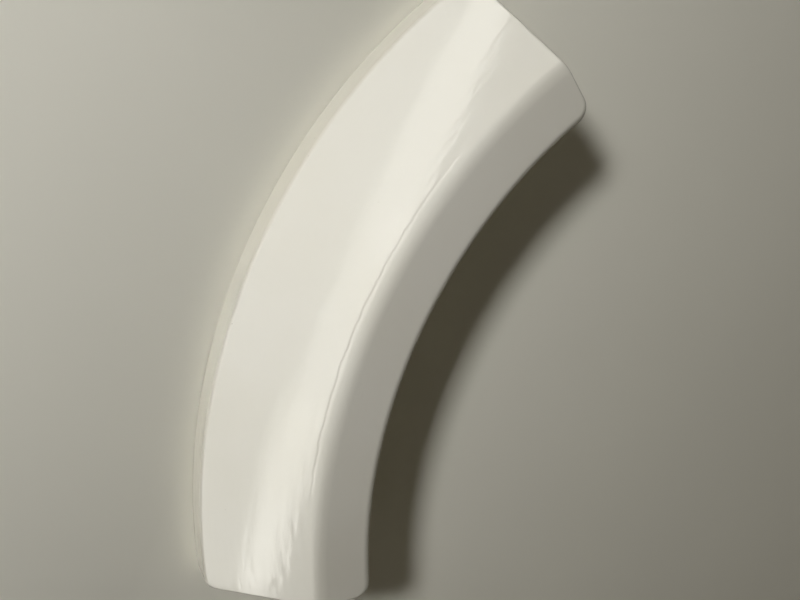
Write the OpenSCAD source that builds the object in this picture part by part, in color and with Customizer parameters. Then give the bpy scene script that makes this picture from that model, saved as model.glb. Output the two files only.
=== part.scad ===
// Dryer door handle: one hollow moulding in the shape of an arc.
// It lies as it is fitted: its mounting face is the plane y = 0, its front faces -Y and +Z is up.
// The origin is midway between the two fixing holes, on the mounting face.
// A section is drawn as (radius from the arc's axis, height above the mounting face).

/* [Arc] */
// Radius of the outer rim at the mounting face
rim_radius = 220.5; // [200:0.5:260]
// Width of the handle, from the rim to the grip's free edge
width = 51.9; // [46:0.1:60]
// Angle from the middle of the handle to each end
half_angle = 28.8; // [24:0.2:32]

/* [Section] */
// Height of the upright outer wall
wall_height = 9.7; // [6:0.1:13]
// Lean of the outer wall towards the arc's axis
wall_lean = 10.5; // [2:0.5:16]
// Slope of the broad front face, from the plane of the mounting face
face_slope = 37.4; // [33:0.2:42]
// Height of the grip's flat top above the mounting face
grip_height = 33; // [30:0.5:38]
// Depth of the rim that turns down along the free edge
lip_drop = 7.5; // [5:0.5:9]
// Reach of the space under the grip, from the free edge to the wall behind the fingertips
pocket_depth = 20.4; // [16:0.2:24]
// Draft of the inner faces, for release from the mould
draft = 1; // [0.5:0.25:2]

/* [Rounds] */
// Rounding of the edge between the outer wall and the front face
edge_round = 1.6; // [0.8:0.1:2.4]
// Rounding of the ridge between the front face and the grip
ridge_round = 9; // [5:0.5:11]
// Rounding of the grip's free edge
lip_round = 1.8; // [1:0.1:2.2]
// Bevel along the edge of both end faces, over the front, the ridge and the grip
end_bevel = 0.7; // [0.4:0.1:1.2]
// Corner radius at the outer wall, seen from the front
wall_corner = 2.4; // [2:0.1:4]
// Corner radius at the free edge, seen from the front
lip_corner = 4.5; // [3.5:0.1:6]

/* [Walls] */
// Thickness of the outer skin and of the end walls
skin = 2.8; // [2.2:0.1:3.2]
// Thickness of the flat grip
grip_wall = 3; // [2.4:0.1:3.6]
// Thickness of the turned-down rim
lip_wall = 2.8; // [2.4:0.1:3.4]
// Thickness of the wall behind the fingertips, at the mounting face
pocket_wall = 2.4; // [2:0.1:3]

/* [Ribs] */
// Thickness of a rib
rib = 1.6; // [1.2:0.1:2]
// Widest spacing of the ribs, along the arc of the fixing holes
rib_spacing = 19; // [15:0.5:20]
// How far the ribs stay back from the mounting face
rib_setback = 1; // [0.5:0.25:2]

/* [Fixings] */
// Distance between the two fixing holes
hole_spacing = 160; // [140:2:176]
// Distance of the fixing holes from the rim
hole_inset = 16.5; // [13:0.5:20]
// Diameter of the pilot hole for a 4.2 mm thread-forming screw
pilot_d = 3.4; // [3:0.1:3.6]
// Depth of the pilot hole
pilot_depth = 14; // [10:0.5:15]
// Wall of plastic around a pilot hole
boss_wall = 2.8; // [2.2:0.1:3.4]

/* [Hidden] */
$fn = 64;
// Sides of a full turn of the arc, and of the rounds of the outer corners
arc_sides = 240;
corner_sides = 48;
// Length by which a cutting shape runs past what it cuts
over = 1;
// Distance by which a corner's round stands past the faces that it joins
lap = 0.03;
// Rounding of the lower corners of the turned-down rim
foot_round = 0.8;
// Radii of the grip's free edge, of the wall behind the fingertips and of the fixing holes
lip_radius = rim_radius - width;
pocket_radius = lip_radius + pocket_depth;
hole_arc = rim_radius - hole_inset;
// Outside of the section, from the rim over the front to the free edge
edge_radius = rim_radius - wall_height * tan(wall_lean);
ridge_radius = edge_radius - (grip_height - wall_height) / tan(face_slope);
rim_point = [rim_radius, 0];
edge_point = [edge_radius, wall_height];
ridge_point = [ridge_radius, grip_height];
lip_point = [lip_radius, grip_height];
foot_level = grip_height - lip_drop;
lip_foot = [lip_radius, foot_level];
// Finger side of the pocket wall, and its hollow side, at the mounting face
pocket_foot = pocket_radius + grip_height * tan(draft);
hollow_foot = pocket_foot + pocket_wall;
grip_ceiling = grip_height - grip_wall;
// Drop from the front face to the inside of the skin, measured straight back
skin_drop = skin / cos(face_slope);
// Angle from the middle to a fixing hole, and distance of the holes' midpoint from the arc's axis
hole_angle = asin(hole_spacing / 2 / hole_arc);
axis_distance = hole_arc * cos(hole_angle);
boss_radius = pilot_d / 2 + boss_wall;
// Ribs share out the arc between the two bosses, and from each boss to its end
degrees_per_rib = rib_spacing / (2 * PI * hole_arc) * 360;
inner_bays = ceil(2 * hole_angle / degrees_per_rib);
inner_step = 2 * hole_angle / inner_bays;
end_bays = ceil((half_angle - hole_angle) / degrees_per_rib);
end_step = (half_angle - hole_angle) / end_bays;
inner_ribs = [for (i = [0:inner_bays]) i * inner_step - hole_angle];
end_ribs = [for (side = [-1, 1], i = [1:1:end_bays - 1]) side * (hole_angle + i * end_step)];

function unit(v) = v / norm(v);

// Radius of each side of the pocket wall at a height above the mounting face
function pocket_side(height) = pocket_foot - height * tan(draft);
function hollow_side(height) = hollow_foot + height * tan(draft);

// Turns a section into the arc of the handle, with its middle on -X
module sweep() {
    rotate([0, 0, 180 - half_angle]) rotate_extrude(angle = 2 * half_angle, $fn = arc_sides) children();
}

// Places its children at both ends: X runs outwards along the end, Y into the handle
module at_ends() {
    for (side = [0, 1]) {
        mirror([0, side, 0]) rotate([0, 0, 180 - half_angle]) children();
    }
}

// What a rounded corner of a section loses, where a and b are the corner's neighbours
module corner_trim(corner, a, b, radius) {
    u = unit(a - corner);
    w = unit(b - corner);
    half = acos(u * w) / 2;
    centre = corner + unit(u + w) * radius / sin(half);
    reach = radius / tan(half);
    grow = 1 + over / radius;
    to_a = (corner + u * reach - centre) * grow;
    to_b = (corner + w * reach - centre) * grow;
    difference() {
        polygon([centre, centre + to_a, centre + (corner - centre) * grow, centre + to_b]);
        translate(centre) circle(radius);
    }
}

// Outside of the section, with the open space under the grip left out
module outline_section() {
    pocket_top = [pocket_side(foot_level), foot_level];
    difference() {
        polygon([rim_point, edge_point, ridge_point, lip_point, lip_foot, pocket_top, [pocket_foot, 0]]);
        corner_trim(edge_point, rim_point, ridge_point, edge_round);
        corner_trim(ridge_point, edge_point, lip_point, ridge_round);
        corner_trim(lip_point, ridge_point, lip_foot, lip_round);
        corner_trim(lip_foot, lip_point, pocket_top, foot_round);
    }
}

// Section of the recess above the lower edge of the turned-down rim
module recess_section() {
    inner = lip_radius + lip_wall;
    low = foot_level - over;
    polygon([
        [inner, low],
        [inner, grip_ceiling],
        [pocket_side(grip_ceiling), grip_ceiling],
        [pocket_side(low), low]
    ]);
}

// Section of the hollow between the pocket wall and the outer wall
module hollow_section() {
    outer_foot = rim_radius - skin / cos(wall_lean);
    face_rise = tan(face_slope);
    roof_at_axis = wall_height + edge_radius * face_rise - skin_drop;
    inner_top = (roof_at_axis - hollow_foot * face_rise) / (1 + face_rise * tan(draft));
    outer_top = (roof_at_axis - outer_foot * face_rise) / (1 - face_rise * tan(wall_lean));
    polygon([
        [hollow_side(-over), -over],
        [hollow_side(inner_top), inner_top],
        [outer_foot - outer_top * tan(wall_lean), outer_top],
        [outer_foot + over * tan(wall_lean), -over]
    ]);
}

// Slab inside each end face, as thick as the wall that stays there
module end_slabs(thickness) {
    at_ends() translate([0, -over, -2 * over])
        cube([rim_radius + over, over + thickness, grip_height + 2 * over]);
}

// Radial ribs, from a little short of the mounting face up into the front
module ribs() {
    for (angle = concat(inner_ribs, end_ribs)) {
        rotate([0, 0, 180 - angle]) translate([pocket_radius, -rib / 2, rib_setback])
            cube([rim_radius - pocket_radius, rib, grip_height]);
    }
}

// Repeats its children at the two fixing holes
module at_holes() {
    for (side = [-1, 1]) {
        rotate([0, 0, 180 - side * hole_angle]) translate([hole_arc, 0, 0]) children();
    }
}

// What the ribs, bosses and end walls leave of the hollow
module hollow() {
    difference() {
        sweep() hollow_section();
        ribs();
        end_slabs(skin);
        at_holes() translate([0, 0, -2 * over]) cylinder(h = grip_height, r = boss_radius);
    }
}

// Recess under the grip, closed at both ends by the turned-down rim
module recess() {
    difference() {
        sweep() recess_section();
        end_slabs(lip_wall);
    }
}

// Waste outside a rounded corner of an end; its children are the round core that stays.
// The core's centre lies between the end face and the face that the corner turns into.
module waste(centre, across, size) {
    far = [centre.x + sign(across.x) * size, centre.y - size];
    low = [min(centre.x, far.x), far.y];
    difference() {
        translate([low.x, low.y, 0]) cube([size, size, grip_height + 2 * over]);
        translate(centre) children();
    }
}

// Waste at the corner of the outer wall, whose round leans with the wall
module wall_corner_waste() {
    offset_y = wall_corner - lap;
    reach = edge_radius - wall_corner + lap;
    centre = [sqrt(reach * reach - offset_y * offset_y), offset_y];
    flare = (wall_height + over) * tan(wall_lean);
    foot = unit(centre) * flare;
    waste(centre, unit(centre), wall_corner + flare + over) {
        hull() {
            translate([foot.x, foot.y, -over]) cylinder(h = over, r = wall_corner, $fn = corner_sides);
            translate([0, 0, wall_height + over]) cylinder(h = grip_height, r = wall_corner, $fn = corner_sides);
        }
    }
}

// Waste at the corner of the grip's free edge, with the bevel of the end face carried round it
module lip_corner_waste() {
    offset_y = lip_corner - lap;
    reach = lip_radius + lip_corner - lap;
    centre = [sqrt(reach * reach - offset_y * offset_y), offset_y];
    bevel_level = grip_height + over - end_bevel;
    waste(centre, -unit(centre), lip_corner + over) {
        translate([0, 0, -over]) cylinder(h = bevel_level + over, r = lip_corner);
        translate([0, 0, bevel_level])
            cylinder(h = end_bevel + 2 * over, r1 = lip_corner, r2 = lip_corner - end_bevel - 2 * over);
    }
}

// Everything under the front, the ridge and the grip, drawn past the handle on the other sides
module under_roof() {
    outer = rim_radius + wall_height;
    inner = lip_radius - wall_height;
    outer_top = wall_height - (outer - edge_radius) * tan(face_slope);
    floor_level = -wall_height;
    difference() {
        polygon([
            [outer, floor_level],
            [outer, outer_top],
            ridge_point,
            [inner, grip_height],
            [inner, floor_level]
        ]);
        corner_trim(ridge_point, edge_point, lip_point, ridge_round);
    }
}

// Waste along the edge of an end face: what a core that tapers towards the end leaves of a slab
module end_edge_waste() {
    depth = end_bevel + over;
    difference() {
        translate([lip_radius - over, -over, 0]) cube([width + 2 * over, over + depth, grip_height + 2 * over]);
        hull() for (slice = [[-over, depth], [depth, -over]]) {
            translate([0, slice.x + lap, 0]) rotate([90, 0, 0]) linear_extrude(lap)
                offset(delta = -slice.y) under_roof();
        }
    }
}

// The whole moulding, drawn with the arc's axis along Z and the mounting face at z = 0
module moulding() {
    difference() {
        sweep() outline_section();
        hollow();
        recess();
        at_ends() translate([0, 0, -over]) wall_corner_waste();
        at_ends() translate([0, 0, -over]) lip_corner_waste();
        at_ends() end_edge_waste();
        at_holes() translate([0, 0, -over]) cylinder(h = pilot_depth + over, d = pilot_d);
    }
}

module door_handle() {
    color("#e2dfd2") translate([axis_distance, 0, 0]) rotate([90, 0, 0]) moulding();
}

door_handle();
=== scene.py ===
"""Dryer door handle: one hollow, glossy cream moulding in front of a plain upright face.

Sizes in the classes are millimetres, as in the part's source. Meshes and places are metres.
A place on the handle is given as a radius from the axis of its arc, a height above its mounting
face and an angle from its middle, which is positive upwards.
"""

import logging
import math
from dataclasses import dataclass, field
from enum import Enum
from typing import Callable, Sequence

import bmesh
import bpy
from mathutils import Matrix, Vector


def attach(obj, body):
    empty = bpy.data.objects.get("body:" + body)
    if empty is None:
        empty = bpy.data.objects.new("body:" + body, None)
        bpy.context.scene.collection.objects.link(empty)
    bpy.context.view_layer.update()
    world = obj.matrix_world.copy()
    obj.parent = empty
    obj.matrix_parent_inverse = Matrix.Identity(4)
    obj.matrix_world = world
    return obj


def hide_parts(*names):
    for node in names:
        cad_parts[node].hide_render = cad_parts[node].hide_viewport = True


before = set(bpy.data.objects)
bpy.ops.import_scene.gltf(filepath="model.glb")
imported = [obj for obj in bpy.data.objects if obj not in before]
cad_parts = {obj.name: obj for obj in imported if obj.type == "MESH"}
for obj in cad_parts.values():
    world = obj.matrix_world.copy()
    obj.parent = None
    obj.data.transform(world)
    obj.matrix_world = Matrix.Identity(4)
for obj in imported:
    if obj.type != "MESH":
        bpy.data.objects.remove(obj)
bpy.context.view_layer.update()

log = logging.getLogger("handle")
MM = 0.001
Section = Sequence[tuple[float, float]]
Colour = tuple[float, float, float, float]
EdgeTest = Callable[[bmesh.types.BMEdge], bool]
WARM = (1.0, 0.985, 0.91)


class End(Enum):
    """The two ends of the handle, by the sign of their angle."""

    LOWER = -1
    UPPER = 1


class Rounding(Enum):
    """Radii of the rounded edges of the outside, in millimetres."""

    WALL = 2.8
    ENDS = 1.0
    LIP = 2.5
    FOOT = 0.8


# Modelling helpers


def start_clean() -> None:
    """Deselects every object, so that an operator acts on the new one alone."""
    if bpy.context.object and bpy.context.object.mode != "OBJECT":
        bpy.ops.object.mode_set(mode="OBJECT")
    bpy.ops.object.select_all(action="DESELECT")


def only(obj: bpy.types.Object) -> None:
    """Selects one object and makes it the active one.

    Args:
        obj: The object to work on.
    """
    start_clean()
    obj.select_set(True)
    bpy.context.view_layer.objects.active = obj


def place_applied(obj: bpy.types.Object, name: str) -> bpy.types.Object:
    """Names a new object and moves its place into its mesh.

    Args:
        obj: A primitive that was just added.
        name: The piece's name.

    Returns:
        The same object, at the origin.
    """
    obj.name = name
    obj.data.name = name
    only(obj)
    bpy.ops.object.transform_apply(location=True, rotation=True, scale=True)
    return obj


def select_edges(obj: bpy.types.Object, test: EdgeTest) -> int:
    """Selects the edges of the mesh in edit mode that pass a test, and nothing else.

    Args:
        obj: The object in edit mode.
        test: Says whether an edge is wanted.

    Returns:
        How many edges are selected.
    """
    bpy.ops.mesh.select_mode(type="EDGE")
    bpy.ops.mesh.select_all(action="DESELECT")
    mesh = bmesh.from_edit_mesh(obj.data)
    wanted = [edge for edge in mesh.edges if test(edge)]
    for edge in wanted:
        edge.select_set(True)
    bmesh.update_edit_mesh(obj.data)
    return len(wanted)


def cut(obj: bpy.types.Object, tool: bpy.types.Object) -> None:
    """Takes a tool out of a solid and deletes the tool.

    Args:
        obj: The solid that is cut.
        tool: The closed shape that is taken away.
    """
    only(obj)
    modifier = obj.modifiers.new("cut", "BOOLEAN")
    modifier.operation = "DIFFERENCE"
    modifier.solver = "EXACT"
    modifier.object = tool
    bpy.ops.object.modifier_apply(modifier=modifier.name)
    bpy.data.objects.remove(tool)


@dataclass(frozen=True)
class Arc:
    """Where the handle lies around the axis of its arc."""

    half_angle: float = 28.8
    hole_arc: float = 204.0
    hole_spacing: float = 160.0

    @property
    def hole_angle(self) -> float:
        """Angle from the middle to a fixing hole, in degrees."""
        return math.degrees(math.asin(self.hole_spacing / 2 / self.hole_arc))

    @property
    def axis_distance(self) -> float:
        """Distance from the part's origin to the arc's axis."""
        return self.hole_arc * math.cos(math.radians(self.hole_angle))

    def point(self, radius: float, height: float, angle: float) -> Vector:
        """Gives a place on the handle in the part's frame, in metres.

        Args:
            radius: Distance from the arc's axis.
            height: Height above the mounting face.
            angle: Degrees from the middle of the handle.

        Returns:
            The point, in metres.
        """
        turn = math.radians(angle)
        x = self.axis_distance - radius * math.cos(turn)
        return Vector((x, -height, radius * math.sin(turn))) * MM

    def radius(self, point: Vector) -> float:
        """Distance of a point from the arc's axis, in millimetres."""
        return math.hypot(self.axis_distance - point.x / MM, point.z / MM)

    def angle(self, point: Vector) -> float:
        """Angle of a point from the middle of the handle, in degrees."""
        return math.degrees(math.atan2(point.z / MM, self.axis_distance - point.x / MM))

    def sweep(
        self, name: str, section: Section, start: float, spans: Sequence[tuple[float, int]]
    ) -> bpy.types.Object:
        """Draws a section corner by corner, fills it and spins it about the arc's axis.

        Args:
            name: The new object's name.
            section: The corners as (radius, height).
            start: Angle at which the section is drawn.
            spans: The turns that follow, each as (degrees, steps).

        Returns:
            A closed solid at the origin.
        """
        corners = [self.point(radius, height, start) for radius, height in section]
        start_clean()
        bpy.ops.mesh.primitive_plane_add(size=MM, location=corners[0])
        obj = place_applied(bpy.context.object, name)
        bpy.ops.object.mode_set(mode="EDIT")
        bpy.ops.mesh.select_mode(type="VERT")
        bpy.ops.mesh.select_all(action="SELECT")
        bpy.ops.mesh.merge(type="CENTER")
        for before, after in zip(corners, corners[1:]):
            bpy.ops.mesh.extrude_region_move(TRANSFORM_OT_translate={"value": after - before})
        bpy.ops.mesh.select_all(action="SELECT")
        bpy.ops.mesh.edge_face_add()
        axis_foot = (self.axis_distance * MM, 0, 0)
        for degrees, steps in spans:
            bpy.ops.mesh.spin(steps=steps, angle=math.radians(degrees), center=axis_foot, axis=(0, -1, 0))
        bpy.ops.mesh.select_all(action="SELECT")
        bpy.ops.mesh.remove_doubles(threshold=1e-6)
        bpy.ops.mesh.normals_make_consistent(inside=False)
        bpy.ops.object.mode_set(mode="OBJECT")
        return obj


# The moulding


@dataclass
class HandleMoulding:
    """The one-piece handle: a leaning wall, a sloping front, a rounded ridge and a flat grip."""

    arc: Arc = field(default_factory=Arc)
    rim_radius: float = 220.5
    width: float = 52.2
    wall_height: float = 9.7
    wall_lean: float = 13.0
    face_slope: float = 34.7
    grip_height: float = 33.0
    lip_drop: float = 7.5
    pocket_depth: float = 20.4
    draft: float = 1.0
    ridge_round: float = 8.5
    wall_corner: float = 2.4
    lip_corner: float = 4.5
    skin: float = 2.8
    grip_wall: float = 3.0
    lip_wall: float = 2.8
    pocket_wall: float = 2.4
    rib: float = 1.6
    rib_setback: float = 1.0
    inner_bays: int = 9
    boss_radius: float = 4.5
    pilot_radius: float = 1.7
    pilot_depth: float = 14.0
    inner_round: float = 0.9
    end_span: float = 1.7
    steps: int = 88
    over: float = 1.0

    @property
    def edge_radius(self) -> float:
        """Radius of the edge between the wall and the front."""
        return self.rim_radius - self.wall_height * math.tan(math.radians(self.wall_lean))

    @property
    def ridge_radius(self) -> float:
        """Radius at which the front would meet the grip without its rounding."""
        return self.edge_radius - (self.grip_height - self.wall_height) / math.tan(math.radians(self.face_slope))

    @property
    def lip_radius(self) -> float:
        """Radius of the grip's free edge."""
        return self.rim_radius - self.width

    @property
    def foot_level(self) -> float:
        """Height of the lower edge of the turned-down rim."""
        return self.grip_height - self.lip_drop

    def pocket_side(self, height: float) -> float:
        """Radius of the wall behind the fingertips at a height above the mounting face."""
        slant = math.tan(math.radians(self.draft))
        return self.lip_radius + self.pocket_depth + (self.grip_height - height) * slant

    def blank(self) -> bpy.types.Object:
        """Sweeps the outside of the section from end to end.

        Returns:
            The solid with sharp edges.
        """
        foot = self.foot_level
        section = [
            (self.rim_radius, 0),
            (self.edge_radius, self.wall_height),
            (self.ridge_radius, self.grip_height),
            (self.lip_radius, self.grip_height),
            (self.lip_radius, foot),
            (self.pocket_side(foot), foot),
            (self.pocket_side(0), 0),
        ]
        middle = 2 * (self.arc.half_angle - self.end_span)
        spans = [(self.end_span, 1), (middle, self.steps), (self.end_span, 1)]
        return self.arc.sweep("handle_moulding", section, -self.arc.half_angle, spans)

    def near(self, point: Vector, radius: float, height: float) -> bool:
        """Says whether a point lies at a radius and a height, to 0.01 mm or so."""
        return abs(self.arc.radius(point) - radius) < 0.02 and abs(-point.y / MM - height) < 0.02

    def runs_along(self, edge: bmesh.types.BMEdge, radius: float, height: float) -> bool:
        """Says whether an edge runs along the arc at a radius and a height."""
        return all(self.near(vertex.co, radius, height) for vertex in edge.verts)

    def stands_at_end(self, edge: bmesh.types.BMEdge, low: tuple[float, float], high: tuple[float, float]) -> bool:
        """Says whether an edge joins two corners of the section at one of the ends."""
        first, second = sorted((vertex.co for vertex in edge.verts), key=lambda point: -point.y)
        at_end = all(abs(abs(self.arc.angle(point)) - self.arc.half_angle) < 0.01 for point in (first, second))
        return at_end and self.near(first, *low) and self.near(second, *high)

    def round_ridge(self, obj: bpy.types.Object) -> None:
        """Rounds the ridge between the front and the grip along its whole length."""
        setback = self.ridge_round * math.tan(math.radians(self.face_slope / 2))
        count = select_edges(obj, lambda edge: self.runs_along(edge, self.ridge_radius, self.grip_height))
        bpy.ops.mesh.bevel(offset_type="OFFSET", offset=setback * MM, segments=10, profile=0.5, affect="EDGES")
        log.info("ridge: %d edges rounded", count)

    def round_corners(self, obj: bpy.types.Object) -> None:
        """Rounds the four upright corners of the ends."""
        rim, edge = (self.rim_radius, 0), (self.edge_radius, self.wall_height)
        foot, lip = (self.lip_radius, self.foot_level), (self.lip_radius, self.grip_height)
        for low, high, radius in ((rim, edge, self.wall_corner), (foot, lip, self.lip_corner)):
            count = select_edges(obj, lambda item: self.stands_at_end(item, low, high))
            bpy.ops.mesh.bevel(offset_type="OFFSET", offset=radius * MM, segments=10, profile=0.5, affect="EDGES")
            log.info("corners: %d edges rounded by %.1f mm", count, radius)

    def edge_rounding(self, edge: bmesh.types.BMEdge) -> float:
        """Gives the radius that an edge of the outside is rounded to.

        Args:
            edge: Any edge of the blank.

        Returns:
            The radius in millimetres, or 0 for an edge that stays as it is.
        """
        middle = (edge.verts[0].co + edge.verts[1].co) / 2
        radius, height = self.arc.radius(middle), -middle.y / MM
        rise = abs((edge.verts[0].co - edge.verts[1].co).y) / edge.calc_length()
        at_end = self.arc.half_angle - abs(self.arc.angle(middle)) < 0.02
        behind = height < self.foot_level + 0.1 and radius < self.pocket_side(0) + 0.1
        if len(edge.link_faces) != 2 or edge.calc_face_angle() < math.radians(25) or height < 0.5:
            return 0.0
        if behind:
            inside_corner = not at_end and radius > self.lip_radius + self.lip_corner
            return 0.0 if inside_corner else Rounding.FOOT.value
        if rise > 0.9:
            return 0.0
        to_lip = min(1.0, max(0.0, 1 - (radius - self.lip_radius) / self.lip_corner))
        to_wall = min(1.0, max(0.0, 1 - (self.edge_radius - radius) / self.wall_corner))
        ends = Rounding.ENDS.value
        return ends + (Rounding.LIP.value - ends) * to_lip + (Rounding.WALL.value - ends) * to_wall

    def round_perimeter(self, obj: bpy.types.Object) -> None:
        """Rounds the outline of the front, the ends and the turned-down rim."""
        largest = max(item.value for item in Rounding)
        bpy.ops.object.mode_set(mode="OBJECT")
        mesh = bmesh.new()
        mesh.from_mesh(obj.data)
        layer = mesh.edges.layers.float.new("bevel_weight_edge")
        for edge in mesh.edges:
            setback = self.edge_rounding(edge) * math.tan(edge.calc_face_angle(0) / 2)
            edge[layer] = min(1.0, setback / largest)
        mesh.to_mesh(obj.data)
        mesh.free()
        only(obj)
        modifier = obj.modifiers.new("perimeter", "BEVEL")
        modifier.limit_method = "WEIGHT"
        modifier.offset_type = "OFFSET"
        modifier.width = largest * MM
        modifier.segments = 5
        modifier.use_clamp_overlap = False
        modifier.loop_slide = False
        bpy.ops.object.modifier_apply(modifier=modifier.name)

    def rounded_tool(self, name: str, section: Section, start: float, turn: float, steps: int) -> bpy.types.Object:
        """Makes a cutting shape whose corners are rounded where it cuts into the plastic.

        Args:
            name: The object's name.
            section: The corners as (radius, height), the two lowest first and last.
            start: Angle of its lower end.
            turn: Degrees that it spans.
            steps: Steps of the turn.

        Returns:
            The closed shape.
        """
        tool = self.arc.sweep(name, section, start, [(turn, steps)])
        mouth = -min(height for _, height in section) * MM
        bpy.ops.object.mode_set(mode="EDIT")
        select_edges(
            tool,
            lambda edge: edge.calc_face_angle() > math.radians(20)
            and any(abs(vertex.co.y - mouth) > 1e-6 for vertex in edge.verts),
        )
        bpy.ops.mesh.bevel(offset_type="OFFSET", offset=self.inner_round * MM, segments=3, profile=0.5, affect="EDGES")
        bpy.ops.object.mode_set(mode="OBJECT")
        return tool

    def cut_recess(self, obj: bpy.types.Object) -> None:
        """Hollows the underside of the grip behind its turned-down rim."""
        seam = 0.05
        inner, ceiling = self.lip_radius + self.lip_wall, self.grip_height - self.grip_wall
        low = self.foot_level - self.over
        outer_low, outer_high = self.pocket_side(low) - seam, self.pocket_side(ceiling) - seam
        half = self.arc.half_angle - math.degrees(math.asin(self.lip_wall / (inner + outer_low) * 2))
        section = [(inner, low), (inner, ceiling), (outer_high, ceiling), (outer_low, low)]
        cut(obj, self.rounded_tool("recess", section, -half, 2 * half, self.steps))

    def hollow_section(self, top_drop: float = 0.0) -> Section:
        """Gives the section of the hollow behind the wall and the front.

        Args:
            top_drop: Height at which the section ends, or 0 for the inside of the skin.

        Returns:
            The corners as (radius, height), from a little below the mounting face.
        """
        slant, lean = math.tan(math.radians(self.draft)), math.tan(math.radians(self.wall_lean))
        rise = math.tan(math.radians(self.face_slope))
        inner_foot = self.pocket_side(0) + self.pocket_wall
        outer_foot = self.rim_radius - self.skin / math.cos(math.radians(self.wall_lean))
        roof = self.wall_height + self.edge_radius * rise - self.skin / math.cos(math.radians(self.face_slope))
        inner_top = top_drop or (roof - inner_foot * rise) / (1 + rise * slant)
        outer_top = top_drop or (roof - outer_foot * rise) / (1 - rise * lean)
        return [
            (inner_foot - self.over * slant, -self.over),
            (inner_foot + inner_top * slant, inner_top),
            (outer_foot - outer_top * lean, outer_top),
            (outer_foot + self.over * lean, -self.over),
        ]

    def boss_blanks(self) -> list[bpy.types.Object]:
        """Makes the two round bosses, which are kept when the hollow is cut."""
        blanks = []
        for end in End:
            middle = self.grip_height / 2 - self.over * 2
            centre = self.arc.point(self.arc.hole_arc, middle, end.value * self.arc.hole_angle)
            start_clean()
            bpy.ops.mesh.primitive_cylinder_add(
                vertices=40,
                radius=self.boss_radius * MM,
                depth=(self.grip_height + self.over) * MM,
                location=centre,
                rotation=(math.pi / 2, 0, 0),
            )
            blanks.append(place_applied(bpy.context.object, "boss"))
        return blanks

    def cut_hollow(self, obj: bpy.types.Object) -> None:
        """Cores the back into bays, with ribs and bosses left between them."""
        middle_radius = self.rim_radius - self.skin - (self.rim_radius - self.pocket_side(0)) / 2
        half_rib = math.degrees(math.asin(self.rib / 2 / middle_radius))
        end_wall = math.degrees(math.asin(self.skin / middle_radius))
        hole, last = self.arc.hole_angle, self.arc.half_angle
        stations = [hole * (2 * index / self.inner_bays - 1) for index in range(self.inner_bays + 1)]
        bays = [(low + half_rib, high - half_rib) for low, high in zip(stations, stations[1:])]
        bays += [(end_wall - last, -hole - half_rib), (hole + half_rib, last - end_wall)]
        tools = []
        for low, high in bays:
            tools.append(self.rounded_tool("bay", self.hollow_section(), low, high - low, 6))
        start_clean()
        for tool in tools:
            tool.select_set(True)
        bpy.context.view_layer.objects.active = tools[0]
        bpy.ops.object.join()
        for boss in self.boss_blanks():
            cut(tools[0], boss)
        cut(obj, tools[0])
        half = last - end_wall
        channel = self.arc.sweep("channel", self.hollow_section(self.rib_setback), -half, [(2 * half, self.steps)])
        for boss in self.boss_blanks():
            cut(channel, boss)
        cut(obj, channel)
        log.info("hollow: %d bays cut", len(bays))

    def cut_pilot_holes(self, obj: bpy.types.Object) -> None:
        """Drills the pilot holes, each with a short lead-in at its mouth."""
        lead = 0.4
        for end in End:
            mouth = self.arc.point(self.arc.hole_arc, lead, end.value * self.arc.hole_angle)
            depth = self.pilot_depth - lead
            start_clean()
            bpy.ops.mesh.primitive_cylinder_add(
                vertices=40,
                radius=self.pilot_radius * MM,
                depth=depth * MM,
                location=mouth - Vector((0, depth / 2 * MM, 0)),
                rotation=(math.pi / 2, 0, 0),
            )
            drill = place_applied(bpy.context.object, "drill")
            bpy.ops.object.mode_set(mode="EDIT")
            bpy.ops.mesh.select_mode(type="FACE")
            bpy.ops.mesh.select_all(action="DESELECT")
            mesh = bmesh.from_edit_mesh(drill.data)
            for face in mesh.faces:
                face.select_set(face.normal.y > 0.9)
            bmesh.update_edit_mesh(drill.data)
            bpy.ops.mesh.extrude_region_move(TRANSFORM_OT_translate={"value": (0, 2 * lead * MM, 0)})
            spread = (self.pilot_radius + 2 * lead) / self.pilot_radius
            bpy.ops.transform.resize(value=(spread, 1, spread), center_override=mouth)
            bpy.ops.object.mode_set(mode="OBJECT")
            cut(obj, drill)

    def build(self) -> bpy.types.Object:
        """Models the whole moulding.

        Returns:
            The finished piece, at the origin.
        """
        obj = self.blank()
        only(obj)
        bpy.ops.object.mode_set(mode="EDIT")
        self.round_ridge(obj)
        self.round_corners(obj)
        self.round_perimeter(obj)
        self.cut_recess(obj)
        self.cut_hollow(obj)
        self.cut_pilot_holes(obj)
        only(obj)
        bpy.ops.object.mode_set(mode="EDIT")
        bpy.ops.mesh.select_all(action="SELECT")
        bpy.ops.mesh.remove_doubles(threshold=2e-6)
        bpy.ops.object.mode_set(mode="OBJECT")
        bpy.ops.object.shade_smooth_by_angle(angle=math.radians(30))
        modifier = obj.modifiers.new("normals", "WEIGHTED_NORMAL")
        modifier.keep_sharp = True
        modifier.weight = 100
        bpy.ops.object.modifier_apply(modifier=modifier.name)
        return obj


# Finishes


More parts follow.
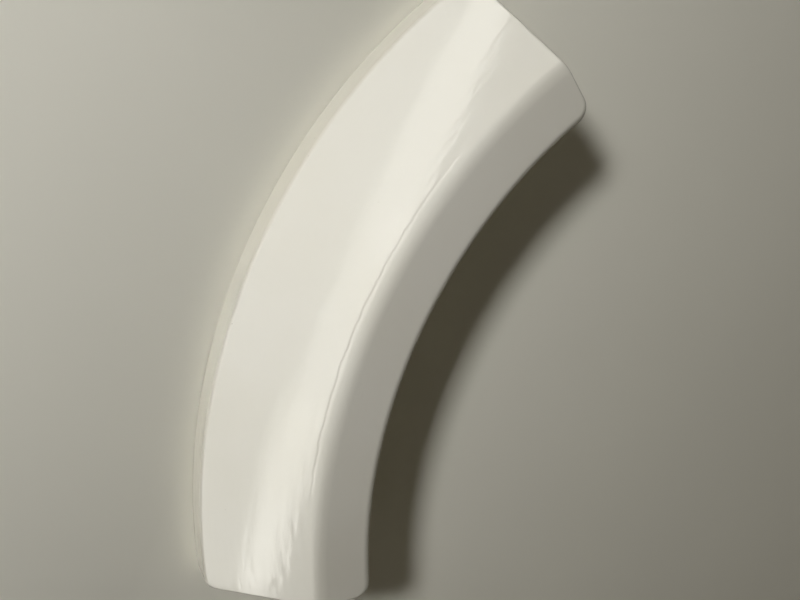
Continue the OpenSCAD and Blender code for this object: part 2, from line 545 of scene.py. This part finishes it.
class Graph:
    """Adds and links the nodes of one shader tree."""

    def __init__(self, tree: bpy.types.NodeTree) -> None:
        """Keeps the tree that the nodes go into."""
        self.tree = tree

    def add(self, kind: str, **settings: object) -> bpy.types.Node:
        """Adds a node.

        Args:
            kind: The node's type, without its ShaderNode prefix.
            settings: Properties to set on the node.

        Returns:
            The node.
        """
        node = self.tree.nodes.new(kind if kind.startswith("Node") else "ShaderNode" + kind)
        for name, value in settings.items():
            setattr(node, name, value)
        return node

    def link(self, source: bpy.types.NodeSocket, target: bpy.types.NodeSocket) -> None:
        """Links an output to an input."""
        self.tree.links.new(source, target)

    def math(self, operation: str, *inputs: object) -> bpy.types.NodeSocket:
        """Adds a math node.

        Args:
            operation: The node's operation.
            inputs: Sockets or numbers.

        Returns:
            Its output.
        """
        node = self.add("Math", operation=operation)
        for socket, value in zip(node.inputs, inputs):
            if isinstance(value, bpy.types.NodeSocket):
                self.link(value, socket)
            else:
                socket.default_value = value
        return node.outputs[0]

    def noise(self, vector: bpy.types.NodeSocket, scale: float, detail: float = 2.0) -> bpy.types.NodeSocket:
        """Adds a noise texture and returns its value, from 0 to 1."""
        node = self.add("TexNoise")
        node.inputs["Scale"].default_value = scale
        node.inputs["Detail"].default_value = detail
        self.link(vector, node.inputs["Vector"])
        return node.outputs["Fac"]

    def ramp(
        self, value: bpy.types.NodeSocket, low: float, high: float, start: float, end: float
    ) -> bpy.types.NodeSocket:
        """Maps a value from one range to another, held at its ends."""
        node = self.add("MapRange")
        self.link(value, node.inputs["Value"])
        for name, number in (("From Min", low), ("From Max", high), ("To Min", start), ("To Max", end)):
            node.inputs[name].default_value = number
        return node.outputs["Result"]


def new_group(
    name: str, inputs: Sequence[tuple[str, str, float]], outputs: Sequence[tuple[str, str]]
) -> tuple[bpy.types.NodeTree, Graph]:
    """Starts a shader node group with named sockets.

    Args:
        name: The group's name.
        inputs: Each input's name, socket type and, for a number, its value at first.
        outputs: Each output's name and socket type.

    Returns:
        The group and a graph that adds to it.
    """
    group = bpy.data.node_groups.new(name, "ShaderNodeTree")
    for label, kind, value in inputs:
        socket = group.interface.new_socket(label, in_out="INPUT", socket_type=kind)
        if kind == "NodeSocketFloat":
            socket.default_value = value
    for label, kind in outputs:
        group.interface.new_socket(label, in_out="OUTPUT", socket_type=kind)
    return group, Graph(group)


@dataclass(frozen=True)
class Effects:
    """The node groups that the finishes share."""

    polar: bpy.types.NodeTree
    ripple: bpy.types.NodeTree
    drift: bpy.types.NodeTree
    dust: bpy.types.NodeTree
    groove: bpy.types.NodeTree

    @classmethod
    def build(cls, arc: Arc) -> "Effects":
        """Builds each group once."""
        return cls(cls.polar_group(arc), cls.ripple_group(), cls.drift_group(), cls.dust_group(), cls.groove_group())

    @staticmethod
    def polar_group(arc: Arc) -> bpy.types.NodeTree:
        """Turns a place into millimetres across, along and above the arc of the handle."""
        group, graph = new_group("arc_place", [("Place", "NodeSocketVector", 0)], [("Vector", "NodeSocketVector")])
        start, end = graph.add("NodeGroupInput"), graph.add("NodeGroupOutput")
        parts = graph.add("SeparateXYZ")
        graph.link(start.outputs["Place"], parts.inputs[0])
        inwards = graph.math("SUBTRACT", arc.axis_distance * MM, parts.outputs["X"])
        height_squared = graph.math("MULTIPLY", parts.outputs["Z"], parts.outputs["Z"])
        squares = graph.math("ADD", graph.math("MULTIPLY", inwards, inwards), height_squared)
        across = graph.math("MULTIPLY", graph.math("SQRT", squares), 1 / MM)
        along = graph.math("MULTIPLY", graph.math("ARCTAN2", parts.outputs["Z"], inwards), arc.hole_arc)
        above = graph.math("MULTIPLY", parts.outputs["Y"], -1 / MM)
        joined = graph.add("CombineXYZ")
        for socket, value in zip(joined.inputs, (across, along, above)):
            graph.link(value, socket)
        graph.link(joined.outputs[0], end.inputs["Vector"])
        return group

    @staticmethod
    def ripple_group() -> bpy.types.NodeTree:
        """Low ripples of a moulded or painted gloss surface, drawn out in one direction."""
        group, graph = new_group(
            "gloss_ripple",
            [
                ("Vector", "NodeSocketVector", 0),
                ("Across", "NodeSocketFloat", 1.0),
                ("Along", "NodeSocketFloat", 0.3),
                ("Broad", "NodeSocketFloat", 0.5),
            ],
            [("Height", "NodeSocketFloat")],
        )
        start, end = graph.add("NodeGroupInput"), graph.add("NodeGroupOutput")
        stretch = graph.add("CombineXYZ")
        for socket, label in zip(stretch.inputs, ("Across", "Along", "Across")):
            graph.link(start.outputs[label], socket)
        scaled = graph.add("VectorMath", operation="MULTIPLY")
        graph.link(start.outputs["Vector"], scaled.inputs[0])
        graph.link(stretch.outputs[0], scaled.inputs[1])
        fine = graph.noise(scaled.outputs[0], 1.0, 1.0)
        broad = graph.noise(scaled.outputs[0], 0.23, 1.0)
        total = graph.math("ADD", fine, graph.math("MULTIPLY", broad, start.outputs["Broad"]))
        graph.link(total, end.inputs["Height"])
        return group

    @staticmethod
    def drift_group() -> bpy.types.NodeTree:
        """Slow change of tone over the surface, as a colour and a mask."""
        group, graph = new_group(
            "tone_drift",
            [
                ("Vector", "NodeSocketVector", 0),
                ("Size", "NodeSocketFloat", 40.0),
                ("Light", "NodeSocketColor", 0),
                ("Dark", "NodeSocketColor", 0),
            ],
            [("Color", "NodeSocketColor"), ("Mask", "NodeSocketFloat")],
        )
        start, end = graph.add("NodeGroupInput"), graph.add("NodeGroupOutput")
        divide = graph.add("VectorMath", operation="DIVIDE")
        size = graph.add("CombineXYZ")
        for socket in size.inputs:
            graph.link(start.outputs["Size"], socket)
        graph.link(start.outputs["Vector"], divide.inputs[0])
        graph.link(size.outputs[0], divide.inputs[1])
        mask = graph.ramp(graph.noise(divide.outputs[0], 1.0, 3.0), 0.35, 0.65, 0.0, 1.0)
        mix = graph.add("Mix", data_type="RGBA")
        graph.link(mask, mix.inputs["Factor"])
        graph.link(start.outputs["Light"], mix.inputs[6])
        graph.link(start.outputs["Dark"], mix.inputs[7])
        graph.link(mix.outputs[2], end.inputs["Color"])
        graph.link(mask, end.inputs["Mask"])
        return group

    @staticmethod
    def dust_group() -> bpy.types.NodeTree:
        """Scattered specks: a mask that is 1 on a speck."""
        group, graph = new_group(
            "fine_specks",
            [
                ("Vector", "NodeSocketVector", 0),
                ("Spacing", "NodeSocketFloat", 9.0),
                ("Radius", "NodeSocketFloat", 0.02),
                ("Share", "NodeSocketFloat", 0.3),
            ],
            [("Mask", "NodeSocketFloat")],
        )
        start, end = graph.add("NodeGroupInput"), graph.add("NodeGroupOutput")
        divide = graph.add("VectorMath", operation="DIVIDE")
        size = graph.add("CombineXYZ")
        for socket in size.inputs:
            graph.link(start.outputs["Spacing"], socket)
        graph.link(start.outputs["Vector"], divide.inputs[0])
        graph.link(size.outputs[0], divide.inputs[1])
        cells = graph.add("TexVoronoi", feature="F1")
        cells.inputs["Scale"].default_value = 1.0
        graph.link(divide.outputs[0], cells.inputs["Vector"])
        chance = graph.add("SeparateColor")
        graph.link(cells.outputs["Color"], chance.inputs[0])
        kept = graph.math("LESS_THAN", chance.outputs[0], start.outputs["Share"])
        near = graph.math("LESS_THAN", cells.outputs["Distance"], start.outputs["Radius"])
        graph.link(graph.math("MULTIPLY", kept, near), end.inputs["Mask"])
        return group

    @staticmethod
    def groove_group() -> bpy.types.NodeTree:
        """A faint, slightly wavering line along the arc: a mask that is 1 in its middle."""
        group, graph = new_group(
            "arc_line",
            [
                ("Vector", "NodeSocketVector", 0),
                ("Radius", "NodeSocketFloat", 188.0),
                ("Half Width", "NodeSocketFloat", 0.5),
                ("Waver", "NodeSocketFloat", 0.5),
                ("Above", "NodeSocketFloat", 28.0),
                ("Reach", "NodeSocketFloat", 60.0),
            ],
            [("Mask", "NodeSocketFloat")],
        )
        start, end = graph.add("NodeGroupInput"), graph.add("NodeGroupOutput")
        parts = graph.add("SeparateXYZ")
        graph.link(start.outputs["Vector"], parts.inputs[0])
        slow = graph.math("SUBTRACT", graph.noise(start.outputs["Vector"], 0.22, 3.0), 0.5)
        shifted = graph.math("ADD", parts.outputs["X"], graph.math("MULTIPLY", slow, start.outputs["Waver"]))
        off = graph.math("ABSOLUTE", graph.math("SUBTRACT", shifted, start.outputs["Radius"]))
        share = graph.math("MINIMUM", graph.math("DIVIDE", off, start.outputs["Half Width"]), 1.0)
        swell = graph.math("COSINE", graph.math("MULTIPLY", share, math.pi))
        line = graph.math("MULTIPLY", graph.math("ADD", swell, 1.0), 0.5)
        high = graph.math("GREATER_THAN", parts.outputs["Z"], start.outputs["Above"])
        travel = graph.math("DIVIDE", graph.math("ABSOLUTE", parts.outputs["Y"]), start.outputs["Reach"])
        fade = graph.ramp(travel, 0.75, 1.0, 1.0, 0.0)
        shown = graph.math("MULTIPLY", line, graph.math("MULTIPLY", high, fade))
        graph.link(shown, end.inputs["Mask"])
        return group


def set_inputs(node: bpy.types.Node, **values: object) -> None:
    """Sets inputs of a node by name, with spaces written as underscores."""
    for name, value in values.items():
        node.inputs[name.replace("_", " ")].default_value = value


@dataclass(frozen=True)
class CreamPlastic:
    """Glossy cream moulded plastic with low ripples, a little drift of tone and fine dust."""

    light: Colour = (0.80, 0.775, 0.69, 1)
    dark: Colour = (0.775, 0.748, 0.655, 1)
    speck: Colour = (0.42, 0.39, 0.32, 1)
    roughness: float = 0.08
    ripple_height: float = 0.00004
    groove_depth: float = 1.3

    def material(self, effects: Effects) -> bpy.types.Material:
        """Builds the material.

        Args:
            effects: The shared node groups.

        Returns:
            The finish of the handle.
        """
        material = bpy.data.materials.new("gloss_cream_plastic")
        material.use_nodes = True
        graph = Graph(material.node_tree)
        shader = material.node_tree.nodes["Principled BSDF"]
        place = graph.add("TexCoord")
        polar = graph.add("Group", node_tree=effects.polar)
        graph.link(place.outputs["Object"], polar.inputs["Place"])
        drift = graph.add("Group", node_tree=effects.drift)
        set_inputs(drift, Size=42.0, Light=self.light, Dark=self.dark)
        graph.link(polar.outputs["Vector"], drift.inputs["Vector"])
        dust = graph.add("Group", node_tree=effects.dust)
        set_inputs(dust, Spacing=7.0, Radius=0.022, Share=0.35)
        graph.link(polar.outputs["Vector"], dust.inputs["Vector"])
        colour = graph.add("Mix", data_type="RGBA")
        colour.inputs[7].default_value = self.speck
        graph.link(dust.outputs["Mask"], colour.inputs["Factor"])
        graph.link(drift.outputs["Color"], colour.inputs[6])
        graph.link(colour.outputs[2], shader.inputs["Base Color"])
        handling = graph.ramp(drift.outputs["Mask"], 0, 1, self.roughness - 0.02, self.roughness + 0.03)
        dull = graph.math("MULTIPLY", dust.outputs["Mask"], 0.4)
        graph.link(graph.math("ADD", handling, dull), shader.inputs["Roughness"])
        ripple = graph.add("Group", node_tree=effects.ripple)
        set_inputs(ripple, Across=0.45, Along=0.2, Broad=1.0)
        graph.link(polar.outputs["Vector"], ripple.inputs["Vector"])
        groove = graph.add("Group", node_tree=effects.groove)
        set_inputs(groove, Radius=187.5, Half_Width=0.5, Waver=1.2, Above=28.0, Reach=62.0)
        graph.link(polar.outputs["Vector"], groove.inputs["Vector"])
        sunk = graph.math("MULTIPLY", groove.outputs["Mask"], -self.groove_depth)
        bump = graph.add("Bump")
        set_inputs(bump, Strength=1.0, Distance=self.ripple_height)
        graph.link(graph.math("ADD", ripple.outputs["Height"], sunk), bump.inputs["Height"])
        graph.link(bump.outputs["Normal"], shader.inputs["Normal"])
        set_inputs(shader, IOR=1.5)
        return material


@dataclass(frozen=True)
class PlainSurface:
    """Plain matt surface of the studio, which may be clear from behind, pale to the camera, or darker towards the left
    as painted shade.
    """

    name: str
    colour: Colour
    one_sided: bool = False
    glow: float = 0.0
    # Share of the colour kept at the left of the handle: painted shade, not a real change of paint.
    shade_scale_left: float = 1.0

    @staticmethod
    def behind_hollow(graph: Graph, effects: Effects) -> bpy.types.NodeSocket:
        """Gives 1 where the surface lies behind the open back of the handle, and 0 elsewhere."""
        inner, outer, reach = 189.5, 218.0, 99.0
        place = graph.add("TexCoord")
        polar = graph.add("Group", node_tree=effects.polar)
        parts = graph.add("SeparateXYZ")
        graph.link(place.outputs["Object"], polar.inputs["Place"])
        graph.link(polar.outputs["Vector"], parts.inputs[0])
        past = graph.math("GREATER_THAN", parts.outputs["X"], inner)
        short = graph.math("LESS_THAN", parts.outputs["X"], outer)
        near = graph.math("LESS_THAN", graph.math("ABSOLUTE", parts.outputs["Y"]), reach)
        return graph.math("MULTIPLY", graph.math("MULTIPLY", past, short), near)

    def material(self, effects: Effects) -> bpy.types.Material:
        """Builds the material.

        Args:
            effects: The shared node groups.

        Returns:
            The finish of a floor or a backdrop.
        """
        material = bpy.data.materials.new(self.name)
        material.use_nodes = True
        graph = Graph(material.node_tree)
        shader = material.node_tree.nodes["Principled BSDF"]
        output = material.node_tree.nodes["Material Output"]
        place = graph.add("TexCoord")
        millimetres = graph.add("VectorMath", operation="SCALE")
        millimetres.inputs["Scale"].default_value = 1 / MM
        graph.link(place.outputs["Object"], millimetres.inputs[0])
        drift = graph.add("Group", node_tree=effects.drift)
        darker = tuple(channel * 0.975 for channel in self.colour[:3]) + (1,)
        set_inputs(drift, Size=120.0, Light=self.colour, Dark=darker)
        graph.link(millimetres.outputs[0], drift.inputs["Vector"])
        # Painted shade: the colour is scaled down towards the left of the handle, which dims the glow beside the
        # handle's wall and the light thrown back onto it.
        across = graph.add("SeparateXYZ")
        graph.link(millimetres.outputs[0], across.inputs[0])
        shaded = graph.add("VectorMath", operation="SCALE")
        graph.link(drift.outputs["Color"], shaded.inputs[0])
        graph.link(graph.ramp(across.outputs["X"], -25, 15, self.shade_scale_left, 1.0), shaded.inputs["Scale"])
        graph.link(shaded.outputs[0], shader.inputs["Base Color"])
        set_inputs(shader, Roughness=0.55, Specular_IOR_Level=0.25)
        if self.glow:
            path = graph.add("LightPath")
            graph.link(drift.outputs["Color"], shader.inputs["Emission Color"])
            shown = graph.math("MULTIPLY", path.outputs["Is Camera Ray"], self.glow)
            graph.link(shown, shader.inputs["Emission Strength"])
        if self.one_sided:
            behind = graph.add("NewGeometry")
            clear = graph.add("BsdfTransparent")
            mix = graph.add("MixShader")
            passing = graph.add("LightPath")
            through = graph.math("MULTIPLY", passing.outputs["Is Shadow Ray"], self.behind_hollow(graph, effects))
            graph.link(graph.math("MAXIMUM", behind.outputs["Backfacing"], through), mix.inputs[0])
            graph.link(shader.outputs[0], mix.inputs[1])
            graph.link(clear.outputs[0], mix.inputs[2])
            graph.link(mix.outputs[0], output.inputs["Surface"])
        return material


# Studio


class Sees(Enum):
    """What a lamp lights: plain shading, mirrored gloss, or both."""

    SHADING = "shading"
    GLOSS = "gloss"
    BOTH = "both"


@dataclass(frozen=True)
class Lamp:
    """A flat lamp that stands upright and is turned towards the handle."""

    name: str
    azimuth: float
    distance: float
    level: float
    width: float
    height: float
    power: float
    sees: Sees = Sees.BOTH
    colour: tuple[float, float, float] = (1.0, 1.0, 1.0)

    def build(self) -> bpy.types.Object:
        """Adds the lamp at its azimuth, distance and level.

        Returns:
            The lamp's object.
        """
        turn = math.radians(self.azimuth)
        away = Vector((math.sin(turn), -math.cos(turn), 0))
        data = bpy.data.lights.new(self.name, "AREA")
        data.shape = "RECTANGLE"
        data.size, data.size_y = self.width, self.height
        data.energy = self.power
        data.color = self.colour
        lamp = bpy.data.objects.new(self.name, data)
        bpy.context.scene.collection.objects.link(lamp)
        place = away * self.distance + Vector((0, 0, self.level))
        lamp.matrix_world = Matrix.Translation(place) @ away.to_track_quat("Z", "Y").to_matrix().to_4x4()
        lamp.visible_diffuse = self.sees is not Sees.GLOSS
        lamp.visible_glossy = self.sees is not Sees.SHADING
        lamp.visible_camera = False
        return lamp


@dataclass
class Studio:
    """A plain upright face behind the handle, a pale floor, soft lamps and the camera."""

    face_colour: Colour = (0.91, 0.89, 0.785, 1)
    floor_colour: Colour = (0.80, 0.79, 0.76, 1)
    floor_level: float = -1.3
    face_gap: float = 0.0004
    ambient: float = 0.045
    ambient_colour: Colour = (1.0, 0.84, 0.52, 1)
    open_colour: Colour = (0.93, 0.93, 0.90, 1)
    mirrored: float = 0.45
    lamps: tuple[Lamp, ...] = (
        Lamp("key", -45.3, 0.547, 0.105, 0.085, 0.12, 1.72, Sees.SHADING),
        Lamp("back_fill", 170, 0.8, 0.2, 0.8, 0.8, 4.0, Sees.SHADING),
        Lamp("wide_panel", -64, 0.47, -0.05, 0.94, 2.3, 19.7, Sees.GLOSS, WARM),
        Lamp("left_panel", -77.4, 0.516, -0.1, 0.638, 2.2, 7.4, Sees.GLOSS, WARM),
        Lamp("right_panel", -11.5, 0.6, -0.05, 0.158, 2.4, 1.43, Sees.GLOSS, WARM),
        Lamp("tall_strip", -48.5, 0.47, -0.22, 0.056, 1.9, 0.74, Sees.GLOSS, WARM),
        Lamp("low_strip", -50.5, 0.47, -0.7, 0.05, 0.9, 0.24, Sees.GLOSS, WARM),
    )

    def plane(self, name: str, size: tuple[float, float], place: Vector, tilt: float) -> bpy.types.Object:
        """Adds a plain surface, divided into smaller faces, away from the handle.

        Args:
            name: The surface's name.
            size: Width and height, in metres.
            place: Its middle.
            tilt: Turn about the X axis, in degrees.

        Returns:
            The surface.
        """
        start_clean()
        bpy.ops.mesh.primitive_plane_add(size=1, location=place, rotation=(math.radians(tilt), 0, 0))
        obj = bpy.context.object
        obj.scale = (size[0], size[1], 1)
        place_applied(obj, name)
        bpy.ops.object.mode_set(mode="EDIT")
        bpy.ops.mesh.select_all(action="SELECT")
        bpy.ops.mesh.subdivide(number_cuts=3)
        bpy.ops.object.mode_set(mode="OBJECT")
        return obj

    def surfaces(self, effects: Effects) -> None:
        """Adds the upright face and the floor."""
        face = self.plane("upright_face", (1.6, 1.6), Vector((0.1, self.face_gap, 0.0)), 90)
        # The upright face gets painted shade on its left, about a fifth darker there.
        face.data.materials.append(PlainSurface("plain_face", self.face_colour, one_sided=True, shade_scale_left=0.78).material(effects))
        floor = self.plane("floor", (4.0, 4.0), Vector((0, -0.4, self.floor_level)), 0)
        floor.data.materials.append(PlainSurface("pale_floor", self.floor_colour, glow=0.6).material(effects))

    def world(self) -> None:
        """Gives low, even light all round, and a pale tone where the camera sees past the floor."""
        world = bpy.data.worlds.new("soft_room")
        bpy.context.scene.world = world
        world.use_nodes = True
        graph = Graph(world.node_tree)
        background = world.node_tree.nodes["Background"]
        path = graph.add("LightPath")
        seen = graph.math("MAXIMUM", path.outputs["Is Camera Ray"], path.outputs["Is Transmission Ray"])
        gloss = graph.math("MULTIPLY", path.outputs["Is Glossy Ray"], self.mirrored)
        pale = graph.math("MAXIMUM", seen, gloss)
        tone = graph.add("Mix", data_type="RGBA")
        tone.inputs[6].default_value, tone.inputs[7].default_value = self.ambient_colour, self.open_colour
        graph.link(graph.math("MAXIMUM", seen, path.outputs["Is Glossy Ray"]), tone.inputs["Factor"])
        graph.link(tone.outputs[2], background.inputs["Color"])
        graph.link(graph.math("MAXIMUM", pale, self.ambient), background.inputs["Strength"])

    def camera(self) -> None:
        """Places the camera as the photograph was taken."""
        place = Vector((-0.05544, -0.18987, 0.02426))
        right = Vector((0.86102, -0.31028, 0.40295)).normalized()
        upwards = Vector((-0.34427, 0.22758, 0.91087)).normalized()
        back = right.cross(upwards).normalized()
        upwards = back.cross(right)
        turn = Matrix((right, upwards, back)).transposed()
        data = bpy.data.cameras.new("camera")
        data.sensor_width = 36
        data.lens = 27.045
        data.clip_start = 0.005
        camera = bpy.data.objects.new("camera", data)
        bpy.context.scene.collection.objects.link(camera)
        camera.matrix_world = Matrix.Translation(place) @ turn.to_4x4()
        bpy.context.scene.camera = camera

    def build(self, effects: Effects) -> None:
        """Sets the whole studio up."""
        bpy.context.scene.view_settings.view_transform = "Standard"
        self.camera()
        self.surfaces(effects)
        self.world()
        for lamp in self.lamps:
            lamp.build()


def measure(obj: bpy.types.Object) -> str:
    """Says how large a mesh is and whether it is closed.

    Args:
        obj: A finished piece.

    Returns:
        Its faces, open edges and volume, as text.
    """
    mesh = bmesh.new()
    mesh.from_mesh(obj.data)
    open_edges = sum(len(edge.link_faces) != 2 for edge in mesh.edges)
    text = f"{len(mesh.faces)} faces, {open_edges} open edges, {mesh.calc_volume(signed=True) * 1e9:.0f} mm3"
    mesh.free()
    return text


def main() -> None:
    """Builds the handle, its studio and its camera, and reports each piece."""
    logging.basicConfig(level=logging.INFO, format="%(message)s")
    arc = Arc()
    effects = Effects.build(arc)
    Studio().build(effects)
    handle = HandleMoulding(arc)
    piece = handle.build()
    piece.data.materials.clear()
    piece.data.materials.append(CreamPlastic().material(effects))
    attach(piece, "root")
    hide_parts("door_handle")
    log.info("%s: %s", piece.name, measure(piece))


if __name__ == "__main__":
    main()
